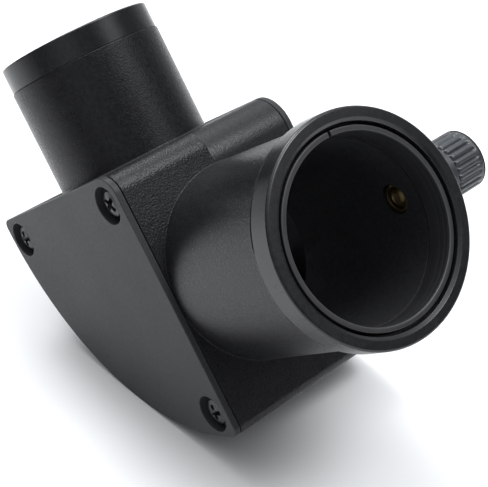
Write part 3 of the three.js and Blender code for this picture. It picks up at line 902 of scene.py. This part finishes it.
def smooth_black():
    return grained("smooth_black", dark=(0.008, 0.0085, 0.0095), light=(0.013, 0.0135, 0.015),
                   grain=0.8, depth=0.004, rough=(0.2, 0.3), wear_and_glint=0.5, specular=0.45)


def ring_black():
    return turned("ring_black", dark=(0.012, 0.012, 0.013), light=(0.040, 0.041, 0.043),
                  axis="X", rough=(0.36, 0.55), line=0.2, depth=0.01)


def knob_black():
    # Its blue tint is painted light: the cool cast of the light from the back.
    return grained("knob_black", dark=(0.026, 0.0285, 0.032), light=(0.040, 0.044, 0.050),
                   grain=0.35, depth=0.012, rough=(0.3, 0.42), wear_and_glint=0.6)


def screw_black():
    # Strongly lightened edges: rubbing, and painted glints on the head and its cross.
    return grained("screw_black", dark=(0.005, 0.0053, 0.006), light=(0.010, 0.0105, 0.012),
                   grain=0.25, depth=0.01, rough=(0.26, 0.38), wear_and_glint=0.7)


def brass():
    return turned("brass", dark=(0.22, 0.16, 0.07), light=(0.34, 0.25, 0.12),
                  axis="Y", rough=(0.4, 0.55), line=0.15, depth=0.006, metallic=1.0)


def mirror_coat():
    surface = Surface("mirror_coat", (0.87, 0.89, 0.91), 0.02, 1.0)
    haze = surface.noise(5.0, 4.0)
    surface.rough(surface.remap(haze, 0.4, 0.75, 0.01, 0.05))
    surface.colour(surface.blend(haze, (0.86, 0.88, 0.90), (0.89, 0.90, 0.92)))
    surface.bump(haze, 0.0005)
    return surface


def holder_black():
    return grained("holder_black", dark=(0.018, 0.018, 0.020), light=(0.030, 0.030, 0.032),
                   grain=0.3, depth=0.01, rough=(0.5, 0.65), wear_and_glint=0.8)


def pad_foam():
    surface = Surface("pad_foam", (0.02, 0.02, 0.02), 0.95)
    cells = surface.node("ShaderNodeTexVoronoi")
    surface.feed(cells.inputs["Vector"], surface.place)
    cells.inputs["Scale"].default_value = 1 / (0.4 * MM)
    wall = cells.outputs["Distance"]
    surface.colour(surface.blend(wall, (0.008, 0.008, 0.008), (0.035, 0.035, 0.036)))
    surface.rough(surface.remap(wall, 0.0, 1.0, 0.98, 0.85))
    surface.bump(wall, 0.15)
    return surface


def spring_steel():
    return turned("spring_steel", dark=(0.42, 0.42, 0.44), light=(0.55, 0.55, 0.57),
                  axis="X", rough=(0.25, 0.4), line=0.08, depth=0.004, metallic=1.0)


SURFACES = {
    made.__name__: made().material
    for made in (
        housing_black, bore_black, plate_grey, smooth_black, ring_black, knob_black, screw_black,
        brass, mirror_coat, holder_black, pad_foam, spring_steel,
    )
}


# ---------------------------------------------------------------- placing pieces

NODE_SLOT = {part["node"]: part["material_slot"] for part in frame["record"]["subparts"]}
NODE_BODY = {
    node: body
    for body, nodes in frame["record"]["behaviour"]["bodies"].items()
    for node in nodes
}


def dress(obj, node, axes=OPTICAL, sharp_deg=38):
    """Puts a finished piece in the row frame, in metres, in place of its CAD node."""
    obj.name = obj.data.name = f"{node}_detailed"
    obj.data.transform(axes @ Matrix.Scale(MM, 4))
    obj.data.materials.clear()
    obj.data.materials.append(SURFACES[NODE_SLOT[node]])
    obj.data.shade_smooth()
    obj.data.set_sharp_from_angle(angle=math.radians(sharp_deg))
    weigh = obj.modifiers.new("weigh_normals", "WEIGHTED_NORMAL")
    weigh.keep_sharp = True
    weigh.weight = 100
    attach(obj, NODE_BODY[node])
    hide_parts(node)
    return obj


def paint_light_inside(obj):
    """Gives the housing's inner faces, in the bores and the mirror chamber, the flatter bore finish, whose
    lighter base colour is painted light.
    """
    obj.data.materials.append(SURFACES["bore_black"])
    to_optical = OPTICAL.inverted()
    ridge = FACE - FAR_RIDGE_RADIUS
    skin = 1.0
    for face in obj.data.polygons:
        x, y, z = to_optical @ face.center / MM
        in_tube = x > FACE - skin and math.hypot(y, z) < MOUTH_RECESS + GAP
        in_nose = z > FACE - skin and math.hypot(x, y) < NOSE_SPIGOT - skin / 2
        in_back = math.hypot(x - BACK_CENTRE, z - BACK_CENTRE) < BACK_RADIUS - skin
        in_ridge = math.hypot(max(x - ridge, 0), max(z - ridge, 0)) < FAR_RIDGE_RADIUS - skin
        if in_tube or in_nose or (in_back and in_ridge):
            face.material_index = 1


def build():
    paint_light_inside(dress(housing(), "housing"))
    for name, side, ridge in (("near", -1, NEAR_RIDGE_RADIUS), ("far", 1, FAR_RIDGE_RADIUS)):
        dress(side_plate(side, ridge), f"side_plate_{name}")
        for place, (x, z) in SCREW_PLACES.items():
            dress(plate_screw(side, x, z), f"plate_screw_{name}_{place}", sharp_deg=50)
    dress(eyepiece_collar(), "eyepiece_collar")
    dress(split_ring(), "eyepiece_split_ring")
    dress(nose_end_ring(), "nosepiece_end_ring", sharp_deg=60)
    dress(thumbscrew_insert(), "thumbscrew_insert")
    dress(thumbscrew_shank(), "thumbscrew_shank", sharp_deg=60)
    dress(thumbscrew_knob(), "thumbscrew_knob", sharp_deg=50)
    dress(solid(block(glass_low, glass_high, GLASS_EDGE)), "mirror_glass", MIRROR)
    dress(solid(block(pad_low, pad_high, PAD_EDGE)), "mirror_pad", MIRROR)
    dress(mirror_holder(), "mirror_holder", MIRROR)
    for end in ("upper", "lower"):
        dress(mirror_clip(f"mirror_clip_{end}"), f"mirror_clip_{end}", MIRROR)
        dress(clip_screw(f"mirror_clip_screw_{end}"), f"mirror_clip_screw_{end}", MIRROR, sharp_deg=50)


# ---------------------------------------------------------------- stage, light and camera

# The floor is pale up to FADE_START from the origin and darker past FADE_END, in metres: painted shade, for
# the light falling off away from the object.
FLOOR_HALF = 3.0
FADE_START = 0.18
FADE_END = 0.42

# The ceiling's brightness by the height of the direction, and patches of light: azimuth, elevation
# and half width in degrees, and strength.
CEILING = {"From Min": 0.7, "From Max": 0.9, "To Min": 0.07, "To Max": 0.5}
PATCHES = (
    (-115, 66, 26, 2.3),
    (-105, 52, 8, 19.0),
    (134, 60, 9, 18.0),
    (127, 37, 9, 1.5),
    (35, 28, 20, 0.45),
    (-150, 12, 20, 1.2),
)

# The camera looks down past the near side plate into the eyepiece socket. Angles are in degrees,
# the distance and the point that it aims at in metres, and the lens in millimetres.
VIEW = {"azimuth": 50.68, "elevation": 36.71, "roll": -4.0, "distance": 0.2474, "lens": 94.56}
VIEW_AIM = Vector((0.0033, -0.0027, 0.0292))


def floor():
    """A plain pale sheet, a little darker far from the object: painted shade, for the light falling off
    with distance.
    """
    corners = ((-1, -1), (1, -1), (1, 1), (-1, 1))
    mesh = bmesh.new()
    mesh.faces.new([mesh.verts.new((FLOOR_HALF * x, FLOOR_HALF * y, 0)) for x, y in corners])
    data = bpy.data.meshes.new("floor")
    mesh.to_mesh(data)
    mesh.free()
    obj = bpy.data.objects.new("floor", data)
    bpy.context.scene.collection.objects.link(obj)
    surface = Surface("floor_paper", (0.9, 0.9, 0.9), 0.8, specular=0.2)
    away = surface.node("ShaderNodeVectorMath", operation="LENGTH")
    surface.feed(away.inputs[0], surface.place)
    # Painted shade: the floor darkens with distance from the object.
    reach = surface.remap(away.outputs["Value"], FADE_START, FADE_END, 0.0, 1.0)
    surface.colour(surface.blend(reach, (0.9, 0.9, 0.905), (0.32, 0.32, 0.325)))
    data.materials.append(surface.material)


def toward(azimuth_deg, elevation_deg):
    """A direction: azimuth from the front (-Y) round towards +X, elevation up from the floor."""
    azimuth, elevation = math.radians(azimuth_deg), math.radians(elevation_deg)
    return Vector((
        math.sin(azimuth) * math.cos(elevation),
        -math.cos(azimuth) * math.cos(elevation),
        math.sin(elevation),
    ))


def surroundings():
    """A dim room under a wide pale ceiling, with a few soft patches of light round it."""
    world = bpy.data.worlds.new("room")
    world.use_nodes = True
    tree = world.node_tree
    view = tree.nodes.new("ShaderNodeTexCoord").outputs["Generated"]

    def maths(operation, first, second=0.0):
        made = tree.nodes.new("ShaderNodeMath")
        made.operation = operation
        for socket, value in zip(made.inputs, (first, second)):
            if isinstance(value, bpy.types.NodeSocket):
                tree.links.new(value, socket)
            else:
                socket.default_value = value
        return made.outputs[0]

    def patch(azimuth_deg, elevation_deg, half_width_deg, strength):
        """A soft round patch of light that falls to half at its half width."""
        dot = tree.nodes.new("ShaderNodeVectorMath")
        dot.operation = "DOT_PRODUCT"
        tree.links.new(view, dot.inputs[0])
        dot.inputs[1].default_value = toward(azimuth_deg, elevation_deg)
        sharpness = math.log(2) / (1 - math.cos(math.radians(half_width_deg)))
        fall = maths("MULTIPLY", maths("SUBTRACT", dot.outputs["Value"], 1.0), sharpness)
        return maths("MULTIPLY", maths("EXPONENT", fall), strength)

    parts = tree.nodes.new("ShaderNodeSeparateXYZ")
    tree.links.new(view, parts.inputs[0])
    ceiling = tree.nodes.new("ShaderNodeMapRange")
    ceiling.interpolation_type = "SMOOTHSTEP"
    tree.links.new(parts.outputs["Z"], ceiling.inputs["Value"])
    for key, value in CEILING.items():
        ceiling.inputs[key].default_value = value
    light = ceiling.outputs[0]
    for place in PATCHES:
        light = maths("ADD", light, patch(*place))
    tree.links.new(light, tree.nodes["Background"].inputs["Strength"])
    tree.nodes["Background"].inputs["Color"].default_value = (0.96, 0.98, 1.0, 1)
    bpy.context.scene.world = world


def camera():
    back = toward(VIEW["azimuth"], VIEW["elevation"])
    level = toward(VIEW["azimuth"] + 90, 0)
    right = Matrix.Rotation(math.radians(VIEW["roll"]), 3, back) @ level
    turn = Matrix((right, back.cross(right), back)).transposed()
    data = bpy.data.cameras.new("camera")
    data.lens = VIEW["lens"]
    data.sensor_width = 36
    data.clip_start = 0.01
    obj = bpy.data.objects.new("camera", data)
    obj.matrix_world = Matrix.Translation(VIEW_AIM + back * VIEW["distance"]) @ turn.to_4x4()
    bpy.context.scene.collection.objects.link(obj)
    bpy.context.scene.camera = obj


camera()
build()
floor()
surroundings()
bpy.context.scene.view_settings.view_transform = "Standard"
